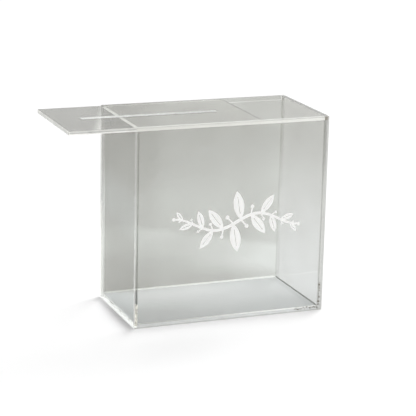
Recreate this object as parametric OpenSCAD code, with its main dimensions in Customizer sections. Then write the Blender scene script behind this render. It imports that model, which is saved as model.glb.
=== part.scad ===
// Card box for a reception table: five clear acrylic sheets cemented edge to edge,
// and a slotted lid that slides in a track milled along the top of the front and back sheets.
// The origin is the centre of the box's underside, +X to the right, +Y to the back, +Z up.

/* [Box] */
// Outer width of the box, from end to end
box_w = 254; // [210:1:360]
// Outer depth of the box, from front to back
box_d = 140; // [100:1:240]
// Outer height of the box
box_h = 254; // [180:1:360]

/* [Sheet] */
// Thickness of the four walls and the base
sheet_t = 5; // [4:0.5:8]
// Arris taken off each exposed edge when it is polished
edge_break = 0.4; // [0.2:0.1:0.8]
// Radius of the front and back sheets' corners
corner_r = 1; // [0.5:0.5:3]

/* [Lid track] */
// Depth that the track is milled into the front and back sheets
track_depth = 2.5; // [1.5:0.25:3]
// Distance from the rim down to the lid's top face
lid_sink = 0.5; // [0:0.1:2]
// Gap between each long edge of the lid and the track's wall
lid_side_gap = 0.3; // [0.1:0.1:1]
// Gap between the closed lid and the right end sheet
lid_stop_gap = 0.4; // [0.2:0.1:1]
// Gap between the lid's underside and the top of the left end sheet
lid_pass_gap = 0.3; // [0.1:0.1:1]

/* [Lid] */
// Thickness of the lid
lid_t = 5; // [3:0.5:8]
// Radius of the lid's corners
lid_corner_r = 1.5; // [1:0.5:6]
// Distance that the lid is drawn out to the left
lid_out = 84; // [0:1:150]
// Length of the card slot
slot_l = 178; // [100:1:190]
// Width of the card slot
slot_w = 10; // [6:0.5:20]
// Radius of the card slot's corners
slot_r = 2; // [1:0.5:3]

/* [Vinyl flourish] */
// Thickness of the vinyl film
film_t = 0.2; // [0.1:0.05:0.5]
// Width of the flourish, from tip to tip
vine_w = 168; // [100:1:180]
// Height of the flourish's centre above the table
vine_z = 127; // [80:1:130]
// Distance from the box's middle to the flourish's centre, to the right
vine_x = 6; // [-10:1:10]
// Height of the stem's wave
vine_wave = 9; // [4:0.5:14]
// Width of the stem at its middle
stem_mid_w = 4.4; // [2:0.2:6]
// Width of the stem at its tips
stem_tip_w = 2.2; // [1:0.2:3]
// Number of leaves on each half of the stem
leaf_pairs = 6; // [3:1:9]
// Length of the longest leaf
leaf_l = 37; // [20:1:40]
// Width of the longest leaf
leaf_w = 14; // [6:0.5:18]
// Width of the clear vein down each leaf
vein_w = 0.9; // [0.4:0.1:1.2]
// Radius of a berry
berry_r = 2.6; // [1:0.1:4]
// Length of a berry's stalk
stalk_l = 12; // [6:1:16]

/* [Hidden] */
$fn = 48;

clear = [0.80, 0.81, 0.80, 0.45];
lid_clear = [0.72, 0.73, 0.72, 0.45];
vinyl_white = [0.95, 0.95, 0.93];

inner_w = box_w - 2 * sheet_t;
inner_d = box_d - 2 * sheet_t;
// The track's floor carries the lid; its wall is what is left of the sheet beside the lid
track_floor_z = box_h - lid_sink - lid_t;
track_wall_t = sheet_t - track_depth;
left_end_h = track_floor_z - lid_pass_gap;
lid_l = box_w - sheet_t - lid_stop_gap;
lid_w = box_d - 2 * track_wall_t - 2 * lid_side_gap;
// Closed, the lid's left edge is flush with the box's left side
lid_left_x = -box_w / 2 - lid_out;

// The stem is a sine wave of one and a half turns, drawn with this many stations
stem_turns = 1.5;
stem_stations = 72;
// Leaves start just off the middle of the stem and stop short of its tips
first_leaf_ratio = 0.06;
last_leaf_ratio = 0.86;
leaf_shrink = 0.62;
leaf_angle_mid = 74;
leaf_angle_tip = 36;
vein_start_ratio = 0.2;
vein_end_ratio = 0.8;

// ---- extrusions along the three axes ----

// Carries a [y, z] outline along X, centred on x = 0
module along_x(length) {
    translate([-length / 2, 0, 0])
        rotate([90, 0, 90])
            linear_extrude(length)
                children();
}

// Carries an [x, z] outline towards +Y from y = 0
module along_y(length) {
    translate([0, length, 0])
        rotate([90, 0, 0])
            linear_extrude(length)
                children();
}

// Rectangle from the origin with four rounded corners
module rounded_rectangle(width, height, radius) {
    translate([radius, 0])
        square([width - 2 * radius, height]);
    translate([0, radius])
        square([width, height - 2 * radius]);
    for (x = [radius, width - radius], y = [radius, height - radius])
        translate([x, y])
            circle(radius);
}

// Rectangle from the origin with its four arrises broken
module broken_rectangle(width, height) {
    polygon([
        [edge_break, 0], [width - edge_break, 0],
        [width, edge_break], [width, height - edge_break],
        [width - edge_break, height], [edge_break, height],
        [0, height - edge_break], [0, edge_break]
    ]);
}

// ---- walls ----

// Section of the front sheet, outer face at 0: a plain sheet with the track cut from
// the top of its inner face
module tracked_section() {
    polygon([
        [edge_break, 0], [sheet_t, 0],
        [sheet_t, track_floor_z], [track_wall_t, track_floor_z],
        [track_wall_t, box_h - edge_break], [track_wall_t - edge_break, box_h],
        [edge_break, box_h], [0, box_h - edge_break], [0, edge_break]
    ]);
}

// Plan of the front sheet: only the outer arrises are broken, the inner ones are cemented
module tracked_plan() {
    polygon([
        [-box_w / 2 + edge_break, 0], [box_w / 2 - edge_break, 0],
        [box_w / 2, edge_break], [box_w / 2, sheet_t],
        [-box_w / 2, sheet_t], [-box_w / 2, edge_break]
    ]);
}

// A full-width sheet with its outer face on y = 0: its section, its face and its plan meet
module tracked_sheet() {
    intersection() {
        along_x(box_w)
            tracked_section();
        along_y(sheet_t)
            translate([-box_w / 2, 0])
                rounded_rectangle(box_w, box_h, corner_r);
        linear_extrude(box_h)
            tracked_plan();
    }
}

module front_panel() {
    color(clear)
        translate([0, -box_d / 2, 0])
            tracked_sheet();
}

module back_panel() {
    color(clear)
        mirror([0, 1, 0])
            translate([0, -box_d / 2, 0])
                tracked_sheet();
}

// An end sheet between the front and back sheets, outer face on x = 0
module end_sheet(height) {
    translate([0, -inner_d / 2, 0])
        along_y(inner_d)
            polygon([
                [edge_break, 0], [sheet_t, 0],
                [sheet_t, height - edge_break], [sheet_t - edge_break, height],
                [edge_break, height], [0, height - edge_break], [0, edge_break]
            ]);
}

// The lid passes over this end
module left_end_panel() {
    color(clear)
        translate([-box_w / 2, 0, 0])
            end_sheet(left_end_h);
}

// The lid stops against this end
module right_end_panel() {
    color(clear)
        mirror([1, 0, 0])
            translate([-box_w / 2, 0, 0])
                end_sheet(box_h);
}

module base_panel() {
    color(clear)
        translate([-inner_w / 2, -inner_d / 2, 0])
            cube([inner_w, inner_d, sheet_t]);
}

// ---- lid ----

// The lid's face with the card slot cut through its middle
module lid_face() {
    difference() {
        rounded_rectangle(lid_l, lid_w, lid_corner_r);
        translate([(lid_l - slot_l) / 2, (lid_w - slot_w) / 2])
            rounded_rectangle(slot_l, slot_w, slot_r);
    }
}

module sliding_lid() {
    color(lid_clear)
        translate([lid_left_x, -lid_w / 2, track_floor_z])
            intersection() {
                linear_extrude(lid_t)
                    lid_face();
                translate([lid_l / 2, 0, 0])
                    along_x(lid_l)
                        broken_rectangle(lid_w, lid_t);
                along_y(lid_w)
                    broken_rectangle(lid_l, lid_t);
            }
}

// ---- vinyl flourish: a leafy vine ----

// Position along the stem goes from -1 at the left tip to 1 at the right tip
function stem_point(u) = [u * vine_w / 2, vine_wave * sin(180 * stem_turns * u)];
function stem_slope(u) =
    atan2(vine_wave * PI * stem_turns * cos(180 * stem_turns * u), vine_w / 2);
function stem_half(u) = (stem_mid_w + (stem_tip_w - stem_mid_w) * abs(u)) / 2;
function stem_side(u, side) =
    stem_point(u) + side * stem_half(u) * [-sin(stem_slope(u)), cos(stem_slope(u))];

module stem() {
    stations = [for (i = [0:stem_stations]) -1 + 2 * i / stem_stations];
    polygon(concat(
        [for (u = stations) stem_side(u, -1)],
        [for (i = [stem_stations:-1:0]) stem_side(stations[i], 1)]
    ));
    for (u = [-1, 1])
        translate(stem_point(u))
            circle(stem_tip_w);
}

// A lens between two equal arcs, its base at the origin and its tip on +X
module leaf(length, width) {
    arc_r = (length * length + width * width) / (4 * width);
    difference() {
        intersection_for(side = [-1, 1])
            translate([length / 2, side * (arc_r - width / 2)])
                circle(arc_r, $fn = 160);
        translate([vein_start_ratio * length, -vein_w / 2])
            square([(vein_end_ratio - vein_start_ratio) * length, vein_w]);
    }
}

module berry() {
    translate([0, -stem_tip_w / 2])
        square([stalk_l, stem_tip_w]);
    translate([stalk_l, 0])
        circle(berry_r);
}

// Places its children on the stem at u, turned by lean from the stem towards the given side
module on_stem(u, side, lean) {
    away = u < 0 ? 180 : 0;
    turn = u < 0 ? -1 : 1;
    translate(stem_point(u))
        rotate(stem_slope(u) + away + turn * side * lean)
            children();
}

module half_vine(half) {
    for (i = [0:leaf_pairs - 1]) {
        share = i / (leaf_pairs - 1);
        u = half * (first_leaf_ratio + (last_leaf_ratio - first_leaf_ratio) * share);
        size = 1 - leaf_shrink * share;
        side = i % 2 == 0 ? half : -half;
        lean = leaf_angle_mid + (leaf_angle_tip - leaf_angle_mid) * share;
        on_stem(u, side, lean)
            leaf(leaf_l * size, leaf_w * size);
        on_stem(u, -side, lean)
            scale(size)
                berry();
    }
}

module vinyl_flourish() {
    color(vinyl_white)
        translate([vine_x, -box_d / 2 - film_t, vine_z])
            along_y(film_t)
                union() {
                    stem();
                    for (half = [-1, 1])
                        half_vine(half);
                }
}

base_panel();
front_panel();
back_panel();
left_end_panel();
right_end_panel();
sliding_lid();
vinyl_flourish();
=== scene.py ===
"""Clear acrylic card box with a sliding lid: the finish of its sheets, edges, seams and film.

Every sheet is a thin wall of cast acrylic. Light goes straight through its two polished faces,
which take a little of it and mirror the rest by Schlick's rule. Its grey tint is painted shade and
painted light, ramping over the sheet from a shaded colour to a lit one. Its cut edges are pale, and
most have a painted glow that stands for the light that runs inside the sheet.
"""

import math

import bpy
import numpy as np
from bpy.props import (
    FloatProperty, FloatVectorProperty, IntProperty, PointerProperty, StringProperty,
)
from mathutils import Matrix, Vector


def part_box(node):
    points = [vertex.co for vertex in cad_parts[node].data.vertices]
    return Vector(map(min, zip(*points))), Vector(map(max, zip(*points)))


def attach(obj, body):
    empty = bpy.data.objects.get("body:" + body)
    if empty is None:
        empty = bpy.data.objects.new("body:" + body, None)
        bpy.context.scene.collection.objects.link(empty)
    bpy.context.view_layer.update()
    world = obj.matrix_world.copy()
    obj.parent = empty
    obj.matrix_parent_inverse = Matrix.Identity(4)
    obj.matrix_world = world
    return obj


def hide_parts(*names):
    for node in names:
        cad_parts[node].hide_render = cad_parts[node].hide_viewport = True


bl_info = {
    "name": "Acrylic card box",
    "version": (1, 0, 0),
    "blender": (4, 5, 0),
    "location": "3D View > Sidebar > Card Box",
    "description": "Dresses a cemented acrylic card box with a sliding lid",
    "category": "Add Mesh",
}

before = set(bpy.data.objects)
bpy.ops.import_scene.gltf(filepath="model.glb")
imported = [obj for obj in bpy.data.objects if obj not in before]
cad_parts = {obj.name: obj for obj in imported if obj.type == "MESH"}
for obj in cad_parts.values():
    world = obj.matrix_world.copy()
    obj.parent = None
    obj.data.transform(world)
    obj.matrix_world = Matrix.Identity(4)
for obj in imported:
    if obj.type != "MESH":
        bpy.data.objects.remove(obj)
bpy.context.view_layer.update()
MM = 0.001

FRONT_LOW, FRONT_HIGH = (np.array(corner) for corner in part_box("front_panel"))
BASE_LOW, BASE_HIGH = (np.array(corner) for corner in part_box("base_panel"))
LID_LOW, LID_HIGH = (np.array(corner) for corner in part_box("sliding_lid"))
HALF_WIDTH = float(FRONT_HIGH[0])
HALF_DEPTH = float(-FRONT_LOW[1])
HEIGHT = float(FRONT_HIGH[2])
SHEET = float(BASE_HIGH[2] - BASE_LOW[2])
TRACK_FLOOR = float(LID_LOW[2])

# A face looks along an axis when that part of its normal is more than FACING, and it lies on a
# plane when its centre is less than CLOSE away.
FACING = 0.9
CLOSE = MM / 10

# Acrylic (PMMA): its refractive index, the share that a face mirrors head on, and the share of the
# falling light that a polished face passes.
ACRYLIC_IOR = 1.49
HEAD_ON = 0.04
FACE_PASSES = 0.985

# Sizes of the grain in pale cuts, and of the soft clouds in a sheet with the tint they add or take.
POLISH_GRAIN, CEMENT_GRAIN, FOAM_GRAIN = 12 * MM, 5 * MM, 1.6 * MM
ROUTED_GRAIN, SAWN_GRAIN, MILLED_GRAIN = 2 * MM, 0.8 * MM, 0.6 * MM
CLOUD_SIZE, CLOUD_TINT = 60 * MM, 0.05

# Noise lies mostly between these two values.
NOISE_LOW, NOISE_HIGH = 0.3, 0.7

# Roughness of the gloss on a sheet's face, a polished edge, set cement and a rough surface wet with
# cement, and on sawn and milled cuts.
SHEET_GLOSS, EDGE_GLOSS, CEMENT_GLOSS, WET_GLOSS = 0.02, 0.06, 0.1, 0.3
SAWN_GLOSS, MILLED_GLOSS = 0.4, 0.45

# The grain takes a cut's cover this far up or down, and the clear part of a cut passes this share.
UNEVEN = 0.08
CUT_PASSES = (0.96, 0.96, 0.96, 1.0)

# Soft vinyl (PVC): its refractive index, the roughness of its satin gloss, a painted glow that
# stands for the light that comes through from behind, and the width, height and strength of its
# orange peel.
VINYL_IOR, VINYL_GLOSS, VINYL_PAINTED_GLOW = 1.53, 0.35, 0.08
PEEL_GRAIN, PEEL_HEIGHT, PEEL_STRENGTH = 0.8 * MM, 0.02 * MM, 0.15

WHITE = "FFFFFF"

# Directions along which a sheet's painted shade and light change, as (right, back, up). In the
# second row they lean to the right as they climb, and in the third as they drop. BACKWARD climbs
# and leans back, SIDEWAYS runs right and a little forward, and SLANT lies flat, to the right and
# back.
ACROSS, DEEP, UP = (1, 0, 0), (0, 1, 0), (0, 0, 1)
FALLING, LEANING, RISING, CORNER = (0.194, 0, 1), (0.3, 0, 1), (0.5, 0, 1), (1, 0, 1)
FLAT, SINKING, STEEP = (0.2, 0, -1), (0.5, 0, -1), (1, 0, -1)
BACKWARD, SIDEWAYS, SLANT = (0, 0.323, 1), (0.93, -0.366, 0), (1, 1, 0)

# Ramps of the lid's painted shade, from shade to light: darkest where it hangs out past the box.
LID_PAINTED_SHADE = [
    (SIDEWAYS, -148, -134, 0.72), (ACROSS, -110, -60, 0.14), (ACROSS, -40, 30, 0.12),
]


# ---- sizes and colours that a user would change ----


class CardBoxSizes(bpy.types.PropertyGroup):
    """Small sizes of the sheets and their seams."""

    arris: FloatProperty(
        name="Arris", description="Radius of a polished edge's corners",
        default=0.4 * MM, unit="LENGTH",
    )
    bond_arris: FloatProperty(
        name="Bonded corner", description="Radius of a corner inside a seam",
        default=0.05 * MM, unit="LENGTH",
    )
    bond_gap: FloatProperty(
        name="Bond line", description="Thickness of the cement between two sheets",
        default=0.04 * MM, unit="LENGTH",
    )
    track_depth: FloatProperty(
        name="Track depth", description="Depth of the lid's track in the sheet",
        default=2.5 * MM, unit="LENGTH",
    )
    air_gap: FloatProperty(
        name="Air under the lid", description="Air between the lid and its track",
        default=0.05 * MM, unit="LENGTH",
    )
    slot_length: FloatProperty(
        name="Slot length", description="Length of the card slot",
        default=178 * MM, unit="LENGTH",
    )
    slot_width: FloatProperty(
        name="Slot width", description="Width of the card slot",
        default=10 * MM, unit="LENGTH",
    )
    slot_radius: FloatProperty(
        name="Slot corner", description="Radius of the card slot's corners",
        default=2 * MM, unit="LENGTH",
    )
    lid_radius: FloatProperty(
        name="Lid corner", description="Radius of the lid's corners",
        default=1.5 * MM, unit="LENGTH",
    )
    fillet: FloatProperty(
        name="Cement fillet", description="Leg of the cement bead inside a seam",
        default=1.3 * MM, unit="LENGTH",
    )
    bubble: FloatProperty(
        name="Bubble", description="Radius of the largest bubble in a seam",
        default=0.75 * MM, unit="LENGTH",
    )
    arc_steps: IntProperty(name="Arc steps", description="Faces round a corner", default=4, min=2)


class CardBoxColours(bpy.types.PropertyGroup):
    """Colours as sRGB hex values."""

    # Each sheet has a shaded colour and a lit one: its grey tint ramps between them over its faces,
    # as painted shade and painted light.
    front: StringProperty(
        name="Front sheet", description="What this sheet lets through", default="E3E3E1"
    )
    front_lit: StringProperty(
        name="Front sheet, lit side", description="What this sheet lets through", default="FAFBFA"
    )
    back: StringProperty(
        name="Back sheet", description="What this sheet lets through", default="B8B8B3"
    )
    back_lit: StringProperty(
        name="Back sheet, lit side", description="What this sheet lets through", default="E9ECE9"
    )
    left: StringProperty(
        name="Left end", description="What this sheet lets through", default="D0D0CC"
    )
    left_lit: StringProperty(
        name="Left end, lit side", description="What this sheet lets through", default="E6E9E8"
    )
    right: StringProperty(
        name="Right end", description="What this sheet lets through", default="CDCDC9"
    )
    right_lit: StringProperty(
        name="Right end, lit side", description="What this sheet lets through", default="F4F6F6"
    )
    base: StringProperty(name="Base", description="What this sheet lets through", default="CFD2D2")
    base_lit: StringProperty(
        name="Base, lit side", description="What this sheet lets through", default="F6F9F9"
    )
    lid: StringProperty(name="Lid", description="What this sheet lets through", default="AAAAA5")
    lid_lit: StringProperty(
        name="Lid, lit side", description="What this sheet lets through", default="F6F6F2"
    )
    mirror: StringProperty(
        name="Mirror", description="Tint of what the faces mirror", default="D3D3D2"
    )
    edge: StringProperty(name="Polished edge", description="Pale edge of a sheet", default="F6F7F5")
    # Painted shade: a darker copy of the pale edge, on the back sheet's rim and the right end's
    # edges.
    edge_painted_shade: StringProperty(
        name="Dim edge", description="An edge that pipes little light", default="9C9C98"
    )
    edge_lid: StringProperty(
        name="Lid edge", description="Scatter of the lid's edges", default="DEDEDA"
    )
    # The three tints below are painted shade: darker tints that a cut has seen from inside its
    # sheet, darkest for the slot and the lid's right edge.
    inside: StringProperty(
        name="Edge from inside", description="What a polished edge passes from inside the sheet",
        default="E4E5E3",
    )
    inside_front: StringProperty(
        name="Front edge from inside", description="What the front sheet's edge passes from inside",
        default="B0B0AD",
    )
    inside_shaded: StringProperty(
        name="Shaded cut from inside",
        description="What the slot and the lid's right edge pass from inside",
        default="6A6A67",
    )
    bond: StringProperty(
        name="Bond", description="What a cemented face lets through", default="FFFFFF"
    )
    # The four bond tints below are painted shade: grey on the seams, darker towards the top.
    bond_back: StringProperty(
        name="Back bond", description="What the back sheet's upper left seam lets through",
        default="ACACA8",
    )
    bond_edge: StringProperty(
        name="Bond edge-on", description="What an upright seam seen along itself lets through",
        default="9C9C98",
    )
    bond_edge_lit: StringProperty(
        name="Bond edge-on, lit side",
        description="What an upright seam seen along itself lets through",
        default="CFCFCC",
    )
    bond_shaded: StringProperty(
        name="Shaded bond", description="What the right end's upper back seam lets through",
        default="D0D0CC",
    )
    # The bead tints below are painted shade: grey that darkens what lies behind a bead, for a thin
    # dark line.
    bead_dark: StringProperty(
        name="Dark bead", description="What a thick cement bead passes", default="D6D7D5"
    )
    bead_medium: StringProperty(
        name="Medium bead", description="What a middling bead passes", default="ECEDEB"
    )
    bead_faint: StringProperty(
        name="Faint bead", description="What a thin cement bead passes", default="F7F8F6"
    )
    bubble: StringProperty(name="Bubble", description="Pale air bubble in cement", default="F8F6EE")
    bubble_grey: StringProperty(
        name="Grey bubble", description="Shaded air bubble in cement", default="8A8376"
    )
    track_end: StringProperty(
        name="Track's end", description="Shaded end of the milled track", default="8A8376"
    )
    track: StringProperty(
        name="Milled track", description="Frosted floor of the track", default="F1F1EE"
    )
    # A grey that the track material's strong painted glow lifts to the brightest line.
    track_bright: StringProperty(
        name="Bright track wall", description="Frosted wall of the front sheet's track",
        default="959592",
    )
    vinyl: StringProperty(name="Vinyl", description="White film of the flourish", default="F8F8F6")
    floor: StringProperty(
        name="Floor", description="Pale paper floor, for the light that falls", default="F4F4F4"
    )
    floor_seen: StringProperty(
        name="Floor, seen", description="Pale paper floor, where it is seen", default="E7E7E7"
    )


class CardBoxStage(bpy.types.PropertyGroup):
    """Camera, lamps and surroundings."""

    camera_place: FloatVectorProperty(
        name="Camera place", description="Where the camera stands",
        default=(-0.785, -1.944, 0.688), subtype="XYZ", unit="LENGTH",
    )
    camera_turn: FloatVectorProperty(
        name="Camera turn", description="The camera's rotation about X, Y and Z",
        default=(math.radians(75.01), math.radians(-1.33), math.radians(-21.50)), subtype="EULER",
    )
    lens: FloatProperty(
        name="Lens", description="Focal length on a 36 mm sensor", default=147.1, unit="CAMERA"
    )
    front_from: FloatVectorProperty(
        name="Front lamp from", description="Direction the front light comes from",
        default=(-0.5, -0.75, 0.6), subtype="DIRECTION",
    )
    front_strength: FloatProperty(
        name="Front lamp", description="Strength of the front light", default=1.0
    )
    back_from: FloatVectorProperty(
        name="Back lamp from", description="Direction the back light comes from",
        default=(0.9, 0.65, 1.1), subtype="DIRECTION",
    )
    back_strength: FloatProperty(
        name="Back lamp", description="Strength of the back light", default=2.9
    )
    softness: FloatProperty(
        name="Softness", description="Angle that each lamp fills",
        default=math.radians(30), subtype="ANGLE",
    )
    ambient: FloatProperty(
        name="Room light", description="Strength of the room's light", default=0.3
    )
    floor_size: FloatProperty(
        name="Floor size", description="Half the floor's side", default=4.0, unit="LENGTH"
    )
    floor_glow: FloatProperty(
        name="Floor glow", description="Light that lifts the seen floor to white", default=0.151
    )


# ---- colour and nodes ----


def linear(hex_colour):
    """The linear RGBA of an sRGB hex value."""
    srgb = np.array([int(hex_colour[i : i + 2], 16) for i in (0, 2, 4)]) / 255
    rgb = np.where(srgb <= 0.04045, srgb / 12.92, ((srgb + 0.055) / 1.055) ** 2.4)
    return (*rgb.tolist(), 1.0)


def through_one_face(hex_colour):
    """The tint of one face of a sheet whose two faces together pass hex_colour: its square root."""
    return tuple(math.sqrt(part) for part in linear(hex_colour))


def add_node(tree, kind, inputs=None, **settings):
    """Adds a node with its settings, and gives each named or numbered input a value or a link."""
    node = tree.nodes.new(kind)
    for name, value in settings.items():
        setattr(node, name, value)
    for socket, value in (inputs or {}).items():
        if isinstance(value, bpy.types.NodeSocket):
            tree.links.new(value, node.inputs[socket])
        else:
            node.inputs[socket].default_value = value
    return node


def new_material(name):
    """An empty node material and its tree."""
    material = bpy.data.materials.new(name)
    material.use_nodes = True
    material.node_tree.nodes.clear()
    return material, material.node_tree


def finish_material(tree, shader):
    """Sends a shader to the material's output."""
    add_node(tree, "ShaderNodeOutputMaterial", {"Surface": shader})


def mirrored(tree, surface, roughness, tint=None):
    """Lays an acrylic face's gloss over a shader.

    Schlick's rule for IOR 1.49: the face mirrors 0.04 head on, and 0.04 + 0.96 (1 - cos)^5 at a
    slant.
    """
    tint = linear(tint or bpy.context.scene.card_box_colours.mirror)
    facing = add_node(tree, "ShaderNodeLayerWeight", {"Blend": 0.5})
    fifth = add_node(
        tree, "ShaderNodeMath", {0: facing.outputs["Facing"], 1: 5.0}, operation="POWER"
    )
    share = add_node(
        tree, "ShaderNodeMath", {0: fifth.outputs[0], 1: 1 - HEAD_ON, 2: HEAD_ON},
        operation="MULTIPLY_ADD",
    )
    gloss = add_node(tree, "ShaderNodeBsdfAnisotropic", {"Color": tint, "Roughness": roughness})
    return add_node(
        tree, "ShaderNodeMixShader", {0: share.outputs[0], 1: surface, 2: gloss.outputs[0]}
    ).outputs[0]


def seen_directly(tree):
    """1 for rays from the camera, a mirror or through glass, and 0 for the light that falls."""
    path = add_node(tree, "ShaderNodeLightPath")
    seen = path.outputs["Is Camera Ray"]
    for kind in ("Is Glossy Ray", "Is Transmission Ray"):
        seen = add_node(
            tree, "ShaderNodeMath", {0: seen, 1: path.outputs[kind]}, operation="MAXIMUM"
        ).outputs[0]
    return seen


def ramp_share(tree, ramps, cloud=0.0):
    """A share from 0 to 1: the sum of smooth ramps along directions, and of soft clouds.

    Each ramp is (direction, start, end, amount), in millimetres along the direction: it adds
    nothing before start, and amount from end on. The clouds add or take up to cloud.
    """
    place = add_node(tree, "ShaderNodeTexCoord").outputs["Object"]
    total = 0.0
    if cloud:
        clouds = add_node(
            tree, "ShaderNodeTexNoise", {"Vector": place, "Scale": 1 / CLOUD_SIZE, "Detail": 1.0}
        )
        total = add_node(
            tree, "ShaderNodeMapRange",
            {0: clouds.outputs[0], 1: NOISE_LOW, 2: NOISE_HIGH, 3: -cloud, 4: cloud},
        ).outputs[0]
    for direction, start, end, amount in ramps:
        along = add_node(
            tree, "ShaderNodeVectorMath", {0: place, 1: direction}, operation="DOT_PRODUCT"
        ).outputs["Value"]
        low, high = (start, end) if start < end else (end, start)
        first, last = (0.0, amount) if start < end else (amount, 0.0)
        step = add_node(
            tree, "ShaderNodeMapRange", {0: along, 1: low * MM, 2: high * MM, 3: first, 4: last},
            interpolation_type="SMOOTHSTEP",
        )
        total = add_node(
            tree, "ShaderNodeMath", {0: total, 1: step.outputs[0]}, operation="ADD"
        ).outputs[0]
    return add_node(tree, "ShaderNodeClamp", {0: total}).outputs[0]


def tint_through(tree, shade, light=WHITE, ramps=(), cloud=0.0):
    """The tint of one face, from shade where the ramps give 0 to light where they give 1.

    shade and light are what two such faces pass together. Without ramps it is shade all over.
    """
    if not ramps:
        return through_one_face(shade)
    share = ramp_share(tree, ramps, cloud)
    return add_node(
        tree, "ShaderNodeMix",
        {"Factor": share, 6: through_one_face(shade), 7: through_one_face(light)},
        data_type="RGBA",
    ).outputs[2]


def glowing(tree, shader, colour, strength):
    """Adds an even glow of a colour to a shader."""
    glow = add_node(tree, "ShaderNodeEmission", {"Color": linear(colour), "Strength": strength})
    return add_node(tree, "ShaderNodeAddShader", {0: shader, 1: glow.outputs[0]}).outputs[0]


# ---- materials ----


def cast_acrylic(name, shade, light, ramps, foot=None, mirror=None, bends=None):
    """Cast acrylic (PMMA) sheet, polished: clear, with a grey tint of painted shade and a hard even
    gloss.

    Its two faces together pass shade where the ramps give 0, and light where they give 1. Each face
    passes nearly all the light that falls on it. At the foot, where the thick cemented corner bends
    the rest aside, it passes only a share: foot is (share, ramps from there to the full light).
    A sheet that is looked through at a low slant bends the view: at both of its faces, or only
    where it comes in, as for the base, which has the table straight under it. bends is then "both"
    or "in".
    """
    material, tree = new_material(name)
    tint = tint_through(tree, shade, light, ramps, CLOUD_TINT)
    if bends != "both":
        body = clear = add_node(tree, "ShaderNodeBsdfTransparent", {"Color": tint}).outputs[0]
    if bends:
        body = add_node(
            tree, "ShaderNodeBsdfRefraction", {"Color": tint, "Roughness": 0.0, "IOR": ACRYLIC_IOR}
        ).outputs[0]
    if bends == "in":
        side = add_node(tree, "ShaderNodeNewGeometry").outputs["Backfacing"]
        body = add_node(tree, "ShaderNodeMixShader", {0: side, 1: body, 2: clear}).outputs[0]
    seen = mirrored(tree, body, SHEET_GLOSS, mirror)
    passed = (FACE_PASSES, FACE_PASSES, FACE_PASSES, 1.0)
    if foot:
        risen = ramp_share(tree, foot[1])
        passed = add_node(
            tree, "ShaderNodeMapRange", {0: risen, 3: foot[0], 4: FACE_PASSES}
        ).outputs[0]
    fallen = add_node(tree, "ShaderNodeBsdfTransparent", {"Color": passed}).outputs[0]
    both = add_node(tree, "ShaderNodeMixShader", {0: seen_directly(tree), 1: fallen, 2: seen})
    finish_material(tree, both.outputs[0])
    return material


def pale_surface(name, colour, cover, grain, roughness=EDGE_GLOSS, glow=0.0, ramps=(), inside=None,
                 bare=()):
    """A pale cut surface: white scatter over part of it and clear acrylic between, with fine grain.

    It has a painted glow, which stands for light piped along the sheet: glow, plus what the ramps
    add.
    Where the bare ramps give 1 the cut is wet with cement, and so clear. A polished cut is pale
    only from outside: seen from inside the sheet it has a darker tint, painted shade. inside is
    (shade,), which is the same all over, or (shade, light, ramps).
    """
    material, tree = new_material(name)
    place = add_node(tree, "ShaderNodeTexCoord").outputs["Object"]
    noise = add_node(
        tree, "ShaderNodeTexNoise", {"Vector": place, "Scale": 1 / grain, "Detail": 2.0}
    ).outputs[0]
    share = add_node(
        tree, "ShaderNodeMapRange",
        {0: noise, 1: NOISE_LOW, 2: NOISE_HIGH, 3: cover - UNEVEN, 4: cover + UNEVEN},
    ).outputs[0]
    if bare:
        kept = add_node(
            tree, "ShaderNodeMapRange", {0: ramp_share(tree, bare), 3: 1.0, 4: 0.0}
        ).outputs[0]
        share = add_node(
            tree, "ShaderNodeMath", {0: share, 1: kept}, operation="MULTIPLY"
        ).outputs[0]
    clear = add_node(tree, "ShaderNodeBsdfTransparent", {"Color": CUT_PASSES}).outputs[0]
    front = add_node(tree, "ShaderNodeBsdfDiffuse", {"Color": linear(colour)}).outputs[0]
    back = add_node(tree, "ShaderNodeBsdfTranslucent", {"Color": linear(colour)}).outputs[0]
    lit = add_node(tree, "ShaderNodeMixShader", {0: 0.5, 1: front, 2: back}).outputs[0]
    strength = glow
    if ramps:
        strength = add_node(
            tree, "ShaderNodeMath", {0: ramp_share(tree, ramps), 1: glow}, operation="ADD"
        ).outputs[0]
    if ramps or glow:
        lit = glowing(tree, lit, colour, strength)
    body = add_node(tree, "ShaderNodeMixShader", {0: share, 1: clear, 2: lit}).outputs[0]
    if inside:
        tint = tint_through(tree, *inside)
        within = add_node(tree, "ShaderNodeBsdfTransparent", {"Color": tint}).outputs[0]
        side = add_node(tree, "ShaderNodeNewGeometry").outputs["Backfacing"]
        body = add_node(tree, "ShaderNodeMixShader", {0: side, 1: body, 2: within}).outputs[0]
    finish_material(tree, mirrored(tree, body, roughness))
    return material


def cemented(name, shade, light=WHITE, ramps=()):
    """A cemented face: the two sheets are one through it, so it has no gloss, only a tint, clear or
    grey with painted shade.
    """
    material, tree = new_material(name)
    tint = tint_through(tree, shade, light, ramps)
    finish_material(tree, add_node(tree, "ShaderNodeBsdfTransparent", {"Color": tint}).outputs[0])
    return material


def cement(name, colour, bubble=False, glow=0.0):
    """Solvent cement set in a seam: a clear bead whose grey tint darkens what is behind it as
    painted shade, or air bubbles.
    """
    material, tree = new_material(name)
    kind = "ShaderNodeBsdfDiffuse" if bubble else "ShaderNodeBsdfTransparent"
    body = add_node(tree, kind, {"Color": linear(colour)}).outputs[0]
    if glow:
        body = glowing(tree, body, colour, glow)
    finish_material(tree, mirrored(tree, body, CEMENT_GLOSS))
    return material


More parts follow.
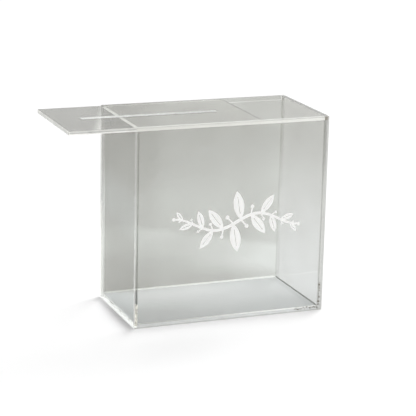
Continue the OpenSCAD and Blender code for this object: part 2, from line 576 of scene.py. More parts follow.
def calendered_vinyl(name, colour):
    """Calendered vinyl film, cut by knife: even white, a satin gloss, a faint orange peel and
    painted glow.
    """
    material, tree = new_material(name)
    place = add_node(tree, "ShaderNodeTexCoord").outputs["Object"]
    peel = add_node(
        tree, "ShaderNodeTexNoise", {"Vector": place, "Scale": 1 / PEEL_GRAIN, "Detail": 1.0}
    )
    bump = add_node(
        tree, "ShaderNodeBump",
        {"Height": peel.outputs[0], "Strength": PEEL_STRENGTH, "Distance": PEEL_HEIGHT},
    )
    film = add_node(
        tree, "ShaderNodeBsdfPrincipled",
        {"Base Color": linear(colour), "Roughness": VINYL_GLOSS, "IOR": VINYL_IOR,
         "Normal": bump.outputs[0], "Emission Color": linear(colour),
         "Emission Strength": VINYL_PAINTED_GLOW},
    )
    finish_material(tree, film.outputs[0])
    return material


def sheet_recipes(colours):
    """The six sheets' faces: cast acrylic, clear, with painted shade and light that ramp over each
    sheet.
    """
    return {
        "cast_acrylic_front": (cast_acrylic, dict(
            shade=colours.front, light=colours.front_lit, foot=(0.75, [(UP, 5, 60, 1.0)]),
            ramps=[
                (ACROSS, -127, 60, 0.75), (UP, 230, 120, 0.25), (UP, 45, 5, -0.4),
                (UP, 6, 4, 0.15),
            ],
        )),
        "cast_acrylic_back": (cast_acrylic, dict(
            shade=colours.back, light=colours.back_lit, foot=(0.8, [(UP, 4, 20, 1.0)]),
            ramps=[
                (ACROSS, -70, -35, 0.14), (UP, 245, 117, 0.45), (FALLING, 81, 67, 0.34),
                (FALLING, 51, 11, -0.47), (STEEP, -60, 142, 0.58), (RISING, 46, -28, 0.34),
                (UP, 31, -5, -0.35), (SINKING, -92, -67, -0.08), (FLAT, -89, -73, -0.13),
                (CORNER, 201, 317, 0.09), (ACROSS, 6, 62, -0.11), (LEANING, 235, 262, 0.14),
                (UP, 7, 4, 0.6),
            ],
        )),
        "cast_acrylic_left": (cast_acrylic, dict(
            shade=colours.left, light=colours.left_lit,
            ramps=[
                (UP, 194, 142, 0.64), (UP, 129, 98, -0.5), (UP, 156, 23, -0.15),
                (BACKWARD, 30, 22, 0.95),
            ],
            foot=(0.1, [(UP, 5, 24, 1.0), (DEEP, -20, 70, 0.4)]),
        )),
        "cast_acrylic_right": (cast_acrylic, dict(
            shade=colours.right, light=colours.right_lit, foot=(0.9, [(UP, 4, 20, 1.0)]),
            ramps=[
                (UP, 272, 65, 0.64), (UP, 97, -15, 0.2), (DEEP, -64, 107, -0.19),
                (UP, 260, 0, 0.12),
            ],
        )),
        "cast_acrylic_base": (cast_acrylic, dict(
            shade=colours.base, light=colours.base_lit, mirror=WHITE, bends="in",
            ramps=[
                (DEEP, -80, 90, 1.13), (SLANT, 31, 177, -0.29), (ACROSS, -3, 94, -0.26),
                (ACROSS, 84, 122, 0.25),
            ],
        )),
        "cast_acrylic_lid": (cast_acrylic, dict(
            shade=colours.lid, light=colours.lid_lit, ramps=LID_PAINTED_SHADE, bends="both",
        )),
    }


def edge_recipes(colours):
    """The cut edges: polished by flame or wheel, routed, sawn, or milled.

    A polished edge is pale, and most have a painted glow that stands for the light they gather
    inside the sheet. The rougher the cut, the whiter and duller it is, and the finer its grain.
    """
    # Painted shade: the tints that a cut has when seen from inside its sheet.
    within, dark_within = (colours.inside,), (colours.inside_shaded,)
    return {
        # Half clear, so that the lines behind it show through; its painted glow fades upwards, and
        # from inside it has a darker tint, painted shade.
        "acrylic_edge_front": (pale_surface, dict(
            colour=colours.edge, cover=0.38, grain=POLISH_GRAIN, ramps=[(UP, 200, 80, 0.15)],
            inside=(colours.inside_front,), bare=[(UP, 100, 180, 0.66)],
        )),
        # Bright at the foot with a painted glow, and all but clear at the top.
        "acrylic_edge_back": (pale_surface, dict(
            colour=colours.edge, cover=0.5, grain=POLISH_GRAIN, ramps=[(UP, 150, 60, 0.6)],
            inside=within, bare=[(UP, 100, 165, 0.65), (UP, 220, 240, 0.3)],
        )),
        # A bright line under the lid: a painted glow.
        "acrylic_edge_left": (pale_surface, dict(
            colour=colours.edge, cover=0.95, grain=POLISH_GRAIN, glow=0.6, inside=within,
        )),
        # A grey rim against the white room: painted shade, a darker copy of the pale edge.
        "acrylic_edge_right": (pale_surface, dict(
            colour=colours.edge_painted_shade, cover=0.7, grain=POLISH_GRAIN, inside=within,
        )),
        # Two bright lines with a grey one between them, along the lid's long sides: the bright
        # lines are a painted glow, and seen from inside it takes the lid's painted shade, darker
        # again over its right part.
        "acrylic_edge_lid": (pale_surface, dict(
            colour=colours.edge_lid, cover=0.92, grain=POLISH_GRAIN,
            ramps=[(UP, 251.4, 252.2, 0.3), (UP, 250.4, 249.8, 0.55)],
            inside=(colours.lid, WHITE, LID_PAINTED_SHADE + [(ACROSS, 28, 36, -0.9)]),
        )),
        # A painted glow, brighter at the top.
        "acrylic_edge_lid_left": (pale_surface, dict(
            colour=colours.edge_lid, cover=0.92, grain=POLISH_GRAIN, glow=0.2,
            ramps=[(UP, 251.5, 253, 0.2)], inside=(colours.lid,),
        )),
        # Painted shade: a dark tint from inside.
        "acrylic_edge_lid_right": (pale_surface, dict(
            colour=colours.edge_lid, cover=0.92, grain=POLISH_GRAIN, inside=dark_within,
        )),
        # The routed slot: a pale line with a painted glow, brighter past the box's end, and a dark
        # one beside it, the slot's painted shade from inside.
        "acrylic_slot_routed": (pale_surface, dict(
            colour=colours.edge, cover=0.9, grain=ROUTED_GRAIN, glow=0.15,
            ramps=[(ACROSS, -122, -134, 0.11)], inside=dark_within,
        )),
        # Left as the saw cut it, and so white and matt, with a painted glow on top.
        "acrylic_edge_sawn": (pale_surface, dict(
            colour=colours.edge, cover=0.92, grain=SAWN_GRAIN, roughness=SAWN_GLOSS, glow=0.57,
        )),
        # Sawn, and turned clear by the cement that ran down its upper half; the rest has a painted
        # glow.
        "acrylic_edge_wetted": (pale_surface, dict(
            colour=colours.edge, cover=0.9, grain=SAWN_GRAIN, roughness=SAWN_GLOSS, glow=0.48,
            bare=[(UP, 2.1, 2.9, 1.0)],
        )),
        # Milled, and frosted by the cutter's fine marks: the front sheet's is the brightest line,
        # by a strong painted glow.
        "acrylic_track_bright": (pale_surface, dict(
            colour=colours.track_bright, cover=0.88, grain=MILLED_GRAIN, roughness=MILLED_GLOSS,
            glow=2.05, bare=[(UP, 253.4, 252.8, 0.6), (UP, 252.2, 251.6, -0.6)],
        )),
        # A pale rim with a faint painted glow.
        "acrylic_rim_front": (pale_surface, dict(
            colour=colours.edge, cover=0.85, grain=POLISH_GRAIN, glow=0.15,
        )),
        # A faint painted glow on the frosted floor.
        "acrylic_track_floor": (pale_surface, dict(
            colour=colours.track, cover=0.95, grain=MILLED_GRAIN, roughness=MILLED_GLOSS,
            glow=0.1,
        )),
        "acrylic_track_end": (pale_surface, dict(
            colour=colours.track_end, cover=0.7, grain=MILLED_GRAIN, roughness=MILLED_GLOSS,
        )),
        "acrylic_track_wet": (pale_surface, dict(
            colour=colours.track, cover=0.3, grain=MILLED_GRAIN, roughness=WET_GLOSS,
        )),
    }


def seam_recipes(colours):
    """The seams: where solvent cement made two sheets one, set beside them, or caught air."""
    return {
        # The bond itself: nothing shows where it is full. The grey tints of the other bonds are
        # painted shade, darker towards the top.
        "acrylic_bond": (cemented, dict(shade=colours.bond)),
        "acrylic_bond_back": (cemented, dict(
            shade=colours.bond_back, ramps=[(UP, 200, 100, 0.9), (ACROSS, -60, 60, 1.0)],
        )),
        "acrylic_bond_edge_on": (cemented, dict(
            shade=colours.bond_edge, light=colours.bond_edge_lit,
            ramps=[(UP, 235, 130, 1.0), (UP, 50, 10, -0.1)],
        )),
        "acrylic_bond_shaded": (cemented, dict(
            shade=colours.bond_shaded, ramps=[(UP, 210, 90, 1.0)],
        )),
        # Beads squeezed out and set: clear, with a grey tint of painted shade for a thin dark line,
        # or pale with a painted glow.
        "cement_bead_dark": (cement, dict(colour=colours.bead_dark)),
        "cement_bead_medium": (cement, dict(colour=colours.bead_medium)),
        "cement_bead_faint": (cement, dict(colour=colours.bead_faint)),
        "cement_bead_light": (pale_surface, dict(
            colour=colours.edge, cover=0.9, grain=CEMENT_GRAIN, glow=0.3,
        )),
        # Painted glow: brighter lower down on the rising line, and to the right on the front one.
        "cement_line_rising": (pale_surface, dict(
            colour=colours.edge, cover=0.8, grain=CEMENT_GRAIN, ramps=[(UP, 180, 50, 0.35)],
            bare=[(UP, 70, 165, 1.0)],
        )),
        "cement_line_front": (pale_surface, dict(
            colour=colours.edge, cover=0.7, grain=CEMENT_GRAIN, ramps=[(ACROSS, -110, 60, 0.5)],
        )),
        # Air caught in the seam: foam too fine to part, and single bubbles; the pale ones have a
        # painted glow.
        "cement_line_foamy": (pale_surface, dict(
            colour=colours.bubble, cover=0.6, grain=FOAM_GRAIN, roughness=WET_GLOSS,
        )),
        "cement_bubbles_pale": (cement, dict(colour=colours.bubble, bubble=True, glow=0.5)),
        "cement_bubbles_grey": (cement, dict(colour=colours.bubble_grey, bubble=True)),
    }


def material_set():
    """The materials by name, made once and then found again.

    A recipe is the function that makes the material and what it is given.
    """
    colours = bpy.context.scene.card_box_colours
    recipes = sheet_recipes(colours) | edge_recipes(colours) | seam_recipes(colours)
    recipes["calendered_vinyl_white"] = (calendered_vinyl, dict(colour=colours.vinyl))
    return {
        name: bpy.data.materials.get(name) or make(name, **values)
        for name, (make, values) in recipes.items()
    }


# ---- surfaces ----


def rounded_rings(corners, radii, insets, steps):
    """Closed outlines of a right-angled polygon, one for each inset, with its corners rounded.

    corners: (n, 2), counter-clockwise. A corner moves in by the inset along both its edges' inward
    normals. Its arc runs round centre = corner + r (back + ahead), where back and ahead are the
    unit vectors to its neighbours, from centre - r ahead to centre - r back:
    centre - r (ahead cos a + back sin a) for a from 0 to 90 degrees.
    """
    corners, radii = np.asarray(corners, float), np.asarray(radii, float)
    ahead = np.roll(corners, -1, axis=0) - corners
    ahead /= np.linalg.norm(ahead, axis=1)[:, None]
    back = -np.roll(ahead, 1, axis=0)
    inward_ahead = np.stack([-ahead[:, 1], ahead[:, 0]], axis=1)
    inward_back = np.roll(inward_ahead, 1, axis=0)
    moved = corners + np.asarray(insets)[:, None, None] * (inward_ahead + inward_back)
    turn = np.linspace(0, math.pi / 2, steps + 1)[None, :, None]
    shape = radii[:, None, None]
    leaving, arriving = ahead[:, None] * np.cos(turn), back[:, None] * np.sin(turn)
    arc = shape * ((back + ahead)[:, None] - leaving - arriving)
    rings = moved[:, :, None, :] + arc[None]
    return rings.reshape(len(insets), -1, 2)


def end_rounding(length, radius, steps):
    """Stations along a sheet and their insets, so that its ends are rounded by radius.

    Station a lies radius (1 - sin a) from the end, and its section is inset by radius (1 - cos a),
    for a from 90 degrees at the end to 0.
    """
    turn = np.linspace(math.pi / 2, 0, steps + 1)
    stations = radius * (1 - np.sin(turn))
    insets = radius * (1 - np.cos(turn))
    stations = np.concatenate([stations, length - stations[::-1]])
    return stations, np.concatenate([insets, insets[::-1]])


def grid_faces(rings, points, closed):
    """Quads between neighbouring rings of a grid; a closed one's last ring joins its first.

    The quad of (ring, point) has the corners (0, 0), (0, 1), (1, 1) and (1, 0) from there.
    """
    ring = np.arange(rings if closed else rings - 1)[:, None]
    point = np.arange(points)[None, :]
    here, there = ring * points, ((ring + 1) % rings) * points
    after = (point + 1) % points
    corners = [here + point, here + after, there + after, there + point]
    return np.stack(corners, axis=-1).reshape(-1, 4)


def swept_sheet(corners, radii, length, end_radius, steps, seam=None, marks=()):
    """A right-angled section carried along a straight line, its ends rounded, with flat caps.

    Vertex (station, point) lies at distance s along the line, on the section inset by the end
    rounding at s. seam is (corner number, height): one more point on the edge after that corner, at
    that height, where another sheet is cemented. marks are more stations. Returns (s, u, v) rows,
    the quads and the two caps.
    """
    stations, insets = end_rounding(length, end_radius, steps)
    place = np.searchsorted(stations, marks)
    stations, insets = np.insert(stations, place, marks), np.insert(insets, place, 0.0)
    rings = rounded_rings(corners, radii, insets, steps)
    if seam:
        corner, height = seam
        upright = corners[corner][0] == corners[corner + 1][0]
        before = (corner + 1) * (steps + 1)
        point = rings[:, before - 1].copy()
        point[:, 1 if upright else 0] = height
        rings = np.insert(rings, before, point, axis=1)
    count, points = rings.shape[:2]
    along = np.broadcast_to(stations[:, None, None], (count, points, 1))
    vertices = np.concatenate([along, rings], axis=2).reshape(-1, 3)
    first = np.arange(points)[::-1]
    last = (count - 1) * points + np.arange(points)
    return vertices, grid_faces(count, points, False), [first.tolist(), last.tolist()]


def make_piece(name, vertices, quads, caps, slots, choose, body, node=None):
    """A mesh object at the origin, with a material slot for each face, riding on a body.

    choose(normals, centres) gives each face's slot number.
    """
    mesh = bpy.data.meshes.new(name)
    mesh.from_pydata(vertices.tolist(), [], quads.tolist() + caps)
    mesh.update()
    count = len(mesh.polygons)
    normals, centres = np.empty(count * 3), np.empty(count * 3)
    mesh.polygons.foreach_get("normal", normals)
    mesh.polygons.foreach_get("center", centres)
    materials = material_set()
    for slot in slots:
        mesh.materials.append(materials[slot])
    chosen = choose(normals.reshape(-1, 3), centres.reshape(-1, 3))
    mesh.polygons.foreach_set("material_index", np.asarray(chosen, np.int32))
    piece = bpy.data.objects.new(name, mesh)
    bpy.context.scene.collection.objects.link(piece)
    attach(piece, body)
    if node:
        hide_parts(node)
    return piece


def one_slot(normals, centres):
    """Every face in the first slot."""
    return np.zeros(len(normals))


# Slot numbers of a wall's faces, of the base's and of the lid's.
FACE, EDGE, TRACK, BOND, SAWN, RIM, TRACK_BED, TRACK_END = range(8)
BASE_FACE, BASE_BOND, BASE_LEFT = range(3)
LID_FACE, LID_SIDE, LID_SLOT, LID_LEFT, LID_RIGHT = range(5)


def sheet_slots(place):
    """The materials of a wall's slots, in the order of their numbers.

    The front sheet's track is frosted and its rim pale. The back's is wet with cement, and so
    clear. The right end sheet has no sawn or milled face, and its two upright seams take those
    slots.
    """
    rim = "acrylic_rim_front" if place == "front" else "acrylic_edge_right"
    track = "acrylic_track_bright" if place == "front" else "cast_acrylic_" + place
    sawn = "acrylic_bond_shaded" if place == "right" else "acrylic_edge_sawn"
    ends = {"front": "acrylic_track_end", "back": "acrylic_track_wet"}
    bond = "acrylic_bond_back" if place == "back" else "acrylic_bond"
    return [
        "cast_acrylic_" + place, "acrylic_edge_" + place, track, bond, sawn, rim,
        "acrylic_track_floor", ends.get(place, "acrylic_bond_edge_on"),
    ]


def tracked_wall(name, node, side):
    """The front (side -1) or back (side 1) sheet: an L section carried along X.

    The step of the L is the lid's track: its floor carries the lid, and its wall stands beside it.
    """
    sizes = bpy.context.scene.card_box_sizes
    outer, inner = -HALF_DEPTH, -HALF_DEPTH + SHEET
    track_wall = inner - sizes.track_depth
    corners = [
        (outer, 0), (inner, 0), (inner, TRACK_FLOOR), (track_wall, TRACK_FLOOR),
        (track_wall, HEIGHT), (outer, HEIGHT),
    ]
    bonded, free = sizes.bond_arris, sizes.arris
    radii = [free, bonded, bonded, bonded, free, free]
    vertices, quads, caps = swept_sheet(
        corners, radii, 2 * HALF_WIDTH, free, sizes.arc_steps, seam=(1, SHEET),
        marks=(SHEET, 2 * HALF_WIDTH - SHEET),
    )
    vertices[:, 0] -= HALF_WIDTH
    if side > 0:
        vertices[:, :2] *= -1

    def choose(normals, centres):
        depth = -side * centres[:, 1]
        face = np.abs(normals[:, 1]) > FACING
        inner_face = face & (depth > inner - CLOSE)
        past_end = np.abs(centres[:, 0]) > HALF_WIDTH - SHEET
        bonded = inner_face & (past_end | (centres[:, 2] < SHEET))
        track = (centres[:, 2] > TRACK_FLOOR - CLOSE) & (depth > track_wall - CLOSE)
        bed = track & (normals[:, 2] > FACING) & (centres[:, 2] < TRACK_FLOOR + MM)
        rim = (normals[:, 2] > FACING) & (centres[:, 2] > HEIGHT - MM)
        plain = np.where(face, FACE, np.where(rim, RIM, EDGE))
        stopped = past_end & (centres[:, 0] > 0)
        channel = np.where(stopped, TRACK_END, np.where(bed, TRACK_BED, TRACK))
        return np.where(bonded, BOND, np.where(track & ~rim, channel, plain))

    slots = sheet_slots("back" if side > 0 else "front")
    return make_piece(name, vertices, quads, caps, slots, choose, "box", node)


def end_wall(name, node):
    """An end sheet: a plain section in Z and X, carried along Y between the two tracked walls."""
    sizes = bpy.context.scene.card_box_sizes
    low, high = (np.array(corner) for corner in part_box(node))
    corners = [(low[2], low[0]), (high[2], low[0]), (high[2], high[0]), (low[2], high[0])]
    length = high[1] - low[1] - 2 * sizes.bond_gap
    inner = 0 if low[0] > 0 else 2
    vertices, quads, caps = swept_sheet(
        corners, [sizes.arris] * 4, length, sizes.bond_arris, sizes.arc_steps,
        seam=(inner, SHEET),
    )
    vertices[:, 0] += low[1] + sizes.bond_gap
    vertices = vertices[:, [2, 0, 1]]

    def choose(normals, centres):
        bottom = (normals[:, 2] < -FACING) & (low[0] < 0)
        side = np.abs(normals[:, 0]) > FACING
        inside = np.abs(centres[:, 0]) < HALF_WIDTH - SHEET + MM
        bonded = side & inside & (centres[:, 2] < SHEET)
        across = np.abs(normals[:, 1]) > FACING
        end = np.where(normals[:, 1] < 0, TRACK_END, SAWN) if low[0] > 0 else BOND
        other = np.where(bottom, SAWN, np.where(across, end, EDGE))
        return np.where(bonded, BOND, np.where(side, FACE, other))

    slots = sheet_slots("left" if low[0] < 0 else "right")
    return make_piece(name, vertices, quads, caps, slots, choose, "box", node)


def base_sheet(name, node):
    """The base: a plain section in Y and Z, carried along X, a bond line clear of the walls."""
    sizes = bpy.context.scene.card_box_sizes
    gap = sizes.bond_gap
    low, high = BASE_LOW + (gap, gap, 0), BASE_HIGH - (gap, gap, 0)
    corners = [(low[1], low[2]), (high[1], low[2]), (high[1], high[2]), (low[1], high[2])]
    vertices, quads, caps = swept_sheet(
        corners, [sizes.bond_arris] * 4, high[0] - low[0], sizes.bond_arris, sizes.arc_steps
    )
    vertices[:, 0] += low[0]

    def choose(normals, centres):
        edge = np.where(normals[:, 0] < -FACING, BASE_LEFT, BASE_BOND)
        return np.where(np.abs(normals[:, 2]) > FACING, BASE_FACE, edge)

    slots = ["cast_acrylic_base", "acrylic_bond", "acrylic_edge_wetted"]
    return make_piece(name, vertices, quads, caps, slots, choose, "box", node)


def rectangle_loop(centre, half, radius, steps):
    """The outline of a rectangle with rounded corners, as one closed loop of (x, y)."""
    signs = np.array([(-1, -1), (1, -1), (1, 1), (-1, 1)])
    return rounded_rings(np.asarray(centre) + signs * half, [radius] * 4, [0.0], steps)[0]


def slotted_lid(name, node):
    """The lid: loops round the card slot and round the lid, joined into one closed ring of quads.

    The loops run out over the top face, round the outer arrises, and back under to the slot. A
    rounded arris is inset by r (1 - sin a) and lowered by r (1 - cos a), for a from 0 to 90
    degrees.
    """
    sizes = bpy.context.scene.card_box_sizes
    centre = (LID_LOW[:2] + LID_HIGH[:2]) / 2
    half = (LID_HIGH[:2] - LID_LOW[:2]) / 2
    slot_half = np.array([sizes.slot_length, sizes.slot_width]) / 2
    top, bottom = LID_HIGH[2], LID_LOW[2] + sizes.air_gap
    arris, steps = sizes.arris, sizes.arc_steps
    turn = np.linspace(0, math.pi / 2, steps + 1)
    inset = arris * (1 - np.sin(turn))
    drop = arris * (1 - np.cos(turn))
    out, back = list(zip(inset, drop)), list(zip(inset[::-1], drop[::-1]))
    stack = [(half - pull, top - fall, sizes.lid_radius) for pull, fall in out]
    stack += [(half - pull, bottom + fall, sizes.lid_radius) for pull, fall in back]
    stack += [(slot_half + pull, bottom + fall, sizes.slot_radius) for pull, fall in out]
    stack += [(slot_half + pull, top - fall, sizes.slot_radius) for pull, fall in back]
    loops = []
    for size, height, radius in stack:
        loop = rectangle_loop(centre, size, radius, steps)
        loops.append(np.column_stack([loop, np.full(len(loop), height)]))
    vertices = np.concatenate(loops)
    quads = grid_faces(len(loops), len(loops[0]), True)[:, ::-1]

    def choose(normals, centres):
        away = np.abs(centres[:, :2] - centre)
        in_slot = np.all(away < slot_half + arris, axis=1)
        edge = np.where(normals[:, 0] > FACING, LID_RIGHT, LID_SIDE)
        edge = np.where(normals[:, 0] < -FACING, LID_LEFT, edge)
        edge = np.where(in_slot, LID_SLOT, edge)
        return np.where(np.abs(normals[:, 2]) > FACING, LID_FACE, edge)

    slots = [
        "cast_acrylic_lid", "acrylic_edge_lid", "acrylic_slot_routed", "acrylic_edge_lid_left",
        "acrylic_edge_lid_right",
    ]
    return make_piece(name, vertices, quads, [], slots, choose, "lid", node)


def cement_bead(name, axis, corner, leg, low, high, material):
    """A bead of cement along an inside corner.

    Its section is the corner, a leg along each sheet, and between their ends the hollow arc
    corner + leg (1 - sin a, 1 - cos a), carried along the axis from low to high. A negative leg
    component turns the section towards that side.
    """
    steps = bpy.context.scene.card_box_sizes.arc_steps
    turn = np.linspace(0, math.pi / 2, steps + 1)
    arc = np.stack([1 - np.sin(turn), 1 - np.cos(turn)], axis=1)
    section = np.array(corner) + np.concatenate([[[0.0, 0.0]], arc]) * np.array(leg)
    points = len(section)
    along = np.repeat([low, high], points)[:, None]
    vertices = np.roll(np.concatenate([along, np.tile(section, (2, 1))], axis=1), axis, axis=1)
    quads = grid_faces(2, points, False)
    caps = [np.arange(points)[::-1].tolist(), (points + np.arange(points)).tolist()]
    if leg[0] * leg[1] > 0:
        quads = quads[:, ::-1]
        caps = [cap[::-1] for cap in caps]
    return make_piece(name, vertices, quads, caps, [material], one_slot, "box")


def cement_line(name, low, high, material):
    """Cement that shows inside a seam as a line: a thin block from corner low to corner high.

    Corner (i, j, k) is low + (i, j, k) (high - low), for i, j and k of 0 and 1.
    """
    ring = [(0, 0), (1, 0), (1, 1), (0, 1)]
    section = np.array(ring) * (np.array(high) - low)[:2] + low[:2]
    vertices = np.concatenate(
        [np.column_stack([section, np.full(4, height)]) for height in (low[2], high[2])]
    )
    caps = [[3, 2, 1, 0], [4, 5, 6, 7]]
    return make_piece(name, vertices, grid_faces(2, 4, False), caps, [material], one_slot, "box")


def icosahedron():
    """The 12 corners and 20 outward faces of a regular icosahedron with a radius of 1.

    The corners are (0, +-1, +-g) and its cyclic turns, for the golden ratio g, over their distance
    from the middle. A face is three corners that are all next to each other.
    """
    golden = (1 + math.sqrt(5)) / 2
    cyclic = np.array([(0, 1, golden), (0, 1, -golden), (0, -1, golden), (0, -1, -golden)])
    shape = np.concatenate([np.roll(cyclic, turn, axis=1) for turn in range(3)])
    shape /= math.hypot(1, golden)
    distance = np.linalg.norm(shape[:, None] - shape[None], axis=2)
    near = distance < 1.1 * np.min(distance[distance > 0.1])
    first, second, third = np.indices((12, 12, 12))
    joined = near[first, second] & near[second, third] & near[first, third]
    across = np.cross(shape[second] - shape[first], shape[third] - shape[first])
    outward = np.einsum("abcd,abcd->abc", across, shape[first]) > 0
    once = (first < second) & (first < third) & (second != third)
    return shape, np.argwhere(joined & outward & once)


def seam_bubbles(name, low, high, count, seed, material, flat, biggest):
    """Air bubbles caught in a seam: flattened icosahedra strewn through the box from low to high.

    Each is centre + radius times the icosahedron, pressed to a sixth along the flat axis. The radii
    are biggest (0.35 + 0.65 r r) for an even random r from 0 to 1, so that most are small.
    """
    random = np.random.default_rng(seed)
    shape, faces = icosahedron()
    squash = np.where(np.arange(3) == flat, 1 / 6, 1.0)
    radii = biggest * (0.35 + 0.65 * random.random(count) ** 2)
    centres = low + random.random((count, 3)) * (np.array(high) - low)
    vertices = centres[:, None] + radii[:, None, None] * shape[None] * squash
    all_faces = faces[None] + len(shape) * np.arange(count)[:, None, None]
    return make_piece(
        name, vertices.reshape(-1, 3), all_faces.reshape(-1, 3), [], [material], one_slot, "box"
    )


# ---- stage ----


def add_world(scene, stage):
    """A white room: white where it is seen, and an even soft light where it falls."""
    world = bpy.data.worlds.new("white_room")
    scene.world = world
    world.use_nodes = True
    tree = world.node_tree
    tree.nodes.clear()
    strength = add_node(
        tree, "ShaderNodeMapRange", {0: seen_directly(tree), 3: stage.ambient, 4: 1.0}
    )
    room = add_node(
        tree, "ShaderNodeBackground", {"Color": linear(WHITE), "Strength": strength.outputs[0]}
    )
    add_node(tree, "ShaderNodeOutputWorld", {"Surface": room.outputs[0]})


def add_floor(scene, stage):
    """A pale paper floor, white to the eye, that keeps the box's soft shadow.

    It lies a tenth of a millimetre under the box. What is seen of it glows a little, up to white.
    """
    reach = stage.floor_size
    sides = np.array([(-1, -1, 0), (1, -1, 0), (1, 1, 0), (-1, 1, 0)]) * reach - (0, 0, MM / 10)
    mesh = bpy.data.meshes.new("floor")
    mesh.from_pydata(sides.tolist(), [], [(0, 1, 2, 3)])
    floor = bpy.data.objects.new("floor", mesh)
    scene.collection.objects.link(floor)
    material, tree = new_material("paper_floor")
    colours = scene.card_box_colours
    fallen, seen = (
        add_node(tree, "ShaderNodeBsdfDiffuse", {"Color": linear(colour)}).outputs[0]
        for colour in (colours.floor, colours.floor_seen)
    )
    seen = glowing(tree, seen, WHITE, stage.floor_glow)
    both = add_node(tree, "ShaderNodeMixShader", {0: seen_directly(tree), 1: fallen, 2: seen})
    finish_material(tree, both.outputs[0])
    mesh.materials.append(material)


def add_lamp(scene, name, direction, strength, softness):
    """An even, soft light from one direction, as from a large panel."""
    lamp = bpy.data.lights.new(name, "SUN")
    lamp.energy = strength
    lamp.angle = softness
    holder = bpy.data.objects.new(name, lamp)
    scene.collection.objects.link(holder)
    holder.rotation_euler = Vector(direction).to_track_quat("Z", "Y").to_euler()


def add_camera(scene, stage):
    """A long lens at the front left, a little above the box."""
    camera = bpy.data.cameras.new("camera")
    camera.lens = stage.lens
    holder = bpy.data.objects.new("camera", camera)
    scene.collection.objects.link(holder)
    holder.location = stage.camera_place
    holder.rotation_euler = stage.camera_turn
    scene.camera = holder


# ---- operators ----


class CARDBOX_OT_walls(bpy.types.Operator):
    """Adds the front, back and end sheets."""

    bl_idname = "cardbox.walls"
    bl_label = "Add walls"

    def execute(self, context):
        tracked_wall("front_sheet", "front_panel", -1)
        tracked_wall("back_sheet", "back_panel", 1)
        end_wall("left_end_sheet", "left_end_panel")
        end_wall("right_end_sheet", "right_end_panel")
        return {"FINISHED"}


class CARDBOX_OT_base(bpy.types.Operator):
    """Adds the base sheet."""

    bl_idname = "cardbox.base"
    bl_label = "Add base"

    def execute(self, context):
        base_sheet("base_sheet", "base_panel")
        return {"FINISHED"}


class CARDBOX_OT_lid(bpy.types.Operator):
    """Adds the slotted lid."""

    bl_idname = "cardbox.lid"
    bl_label = "Add lid"

    def execute(self, context):
        slotted_lid("slotted_lid", "sliding_lid")
        return {"FINISHED"}


class CARDBOX_OT_flourish(bpy.types.Operator):
    """Finishes the vinyl flourish."""

    bl_idname = "cardbox.flourish"
    bl_label = "Finish flourish"

    def execute(self, context):
        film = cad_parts["vinyl_flourish"]
        film.data.materials.clear()
        film.data.materials.append(material_set()["calendered_vinyl_white"])
        return {"FINISHED"}


class CARDBOX_OT_seams(bpy.types.Operator):
    """Adds the cement beads and the bubbles of the seams."""

    bl_idname = "cardbox.seams"
    bl_label = "Add seams"

    def execute(self, context):
        sizes = context.scene.card_box_sizes
        leg, fine, film, bubble = sizes.fillet, 0.5 * sizes.fillet, sizes.bond_gap, sizes.bubble
        # The inner faces of the end sheets, of the front and back sheets, and of the base, and the
        # height where the upright seams stop, short of the track
        side, deep, floor, top = HALF_WIDTH - SHEET, HALF_DEPTH - SHEET, SHEET, 0.97 * HEIGHT
        for name, axis, corner, legs, low, high, material in (
            ("bead_base_back", 0, (deep, floor), (-leg, leg), -side, side, "cement_bead_light"),
            ("bead_base_right", 1, (floor, side), (leg, -leg), -deep, deep, "cement_bead_dark"),
            ("bead_back_right", 2, (side, deep), (-fine, -fine), floor, top, "cement_bead_faint"),
            ("bead_back_left", 2, (-side, deep), (fine, -fine), floor, top, "cement_bead_faint"),
        ):
            cement_bead(name, axis, corner, legs, low, high, material)
        front, back = (-deep - film, -deep), (deep, deep + film)
        for name, left, right, seam, low, high, material in (
            ("line_front_left", -123.6 * MM, -121.9 * MM, front, 30 * MM, top,
             "cement_bead_medium"),
            ("line_front_left_foot", -126.2 * MM, -121.6 * MM, front, 2 * MM, 29 * MM,
             "cement_line_foamy"),
            ("line_front_right", 123 * MM, 124.6 * MM, front, 5 * MM, top, "cement_bead_medium"),
            ("line_back_left", -126.8 * MM, -124 * MM, back, 2 * MM, top, "cement_line_rising"),
            ("line_base_front", -side, side, front, 3.5 * MM, 5 * MM, "cement_line_front"),
        ):
            cement_line(name, (left, seam[0], low), (right, seam[1], high), material)
        # The middle of the cement along the front sheet, and along the left end sheet
        bond, wall = deep + film / 2, side + film / 2
        seam_bubbles(
            "bubbles_front_left", (-125.4 * MM, -bond, 2 * MM), (-121.2 * MM, -bond, 31 * MM),
            count=110, seed=1, material="cement_bubbles_pale", flat=1, biggest=bubble,
        )
        seam_bubbles(
            "bubbles_base_front", (90 * MM, -bond, 1.2 * MM), (123 * MM, -bond, 4.4 * MM),
            count=56, seed=5, material="cement_bubbles_grey", flat=1, biggest=1.3 * bubble,
        )
        seam_bubbles(
            "bubbles_front_right", (124 * MM, -bond, 3 * MM), (126 * MM, -bond, 38 * MM),
            count=32, seed=3, material="cement_bubbles_grey", flat=1, biggest=1.7 * bubble,
        )
        seam_bubbles(
            "bubbles_base_left", (-wall, -64 * MM, 1 * MM), (-wall, 64 * MM, 1.7 * MM),
            count=40, seed=4, material="cement_bubbles_grey", flat=0, biggest=1.5 * bubble,
        )
        return {"FINISHED"}


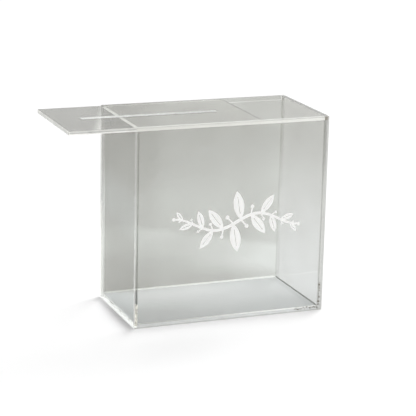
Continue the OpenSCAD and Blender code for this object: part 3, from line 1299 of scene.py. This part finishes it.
class CARDBOX_OT_stage(bpy.types.Operator):
    """Adds the floor, the room's light, the lamps and the camera."""

    bl_idname = "cardbox.stage"
    bl_label = "Add stage"

    def execute(self, context):
        stage = context.scene.card_box_stage
        add_world(context.scene, stage)
        add_floor(context.scene, stage)
        for name, direction, strength in (
            ("front_lamp", stage.front_from, stage.front_strength),
            ("back_lamp", stage.back_from, stage.back_strength),
        ):
            add_lamp(context.scene, name, direction, strength, stage.softness)
        add_camera(context.scene, stage)
        context.scene.view_settings.view_transform = "Standard"
        return {"FINISHED"}


class CARDBOX_PT_panel(bpy.types.Panel):
    """Lists the steps in order."""

    bl_label = "Card Box"
    bl_idname = "CARDBOX_PT_panel"
    bl_space_type = "VIEW_3D"
    bl_region_type = "UI"
    bl_category = "Card Box"

    def draw(self, context):
        for step in STEPS:
            self.layout.operator(step.bl_idname)


STEPS = (
    CARDBOX_OT_walls, CARDBOX_OT_base, CARDBOX_OT_lid, CARDBOX_OT_seams, CARDBOX_OT_flourish,
    CARDBOX_OT_stage,
)
GROUPS = (CardBoxSizes, CardBoxColours, CardBoxStage)


def register():
    """Registers the classes and puts their settings on the scene."""
    for item in (*GROUPS, *STEPS, CARDBOX_PT_panel):
        bpy.utils.register_class(item)
    bpy.types.Scene.card_box_sizes = PointerProperty(type=CardBoxSizes)
    bpy.types.Scene.card_box_colours = PointerProperty(type=CardBoxColours)
    bpy.types.Scene.card_box_stage = PointerProperty(type=CardBoxStage)


def unregister():
    """Takes the settings and the classes away again, last first."""
    del bpy.types.Scene.card_box_stage
    del bpy.types.Scene.card_box_colours
    del bpy.types.Scene.card_box_sizes
    for item in reversed((*GROUPS, *STEPS, CARDBOX_PT_panel)):
        bpy.utils.unregister_class(item)


def main():
    """Makes everything in order."""
    register()
    bpy.ops.cardbox.walls()
    bpy.ops.cardbox.base()
    bpy.ops.cardbox.lid()
    bpy.ops.cardbox.seams()
    bpy.ops.cardbox.flourish()
    bpy.ops.cardbox.stage()


if __name__ == "__main__":
    main()
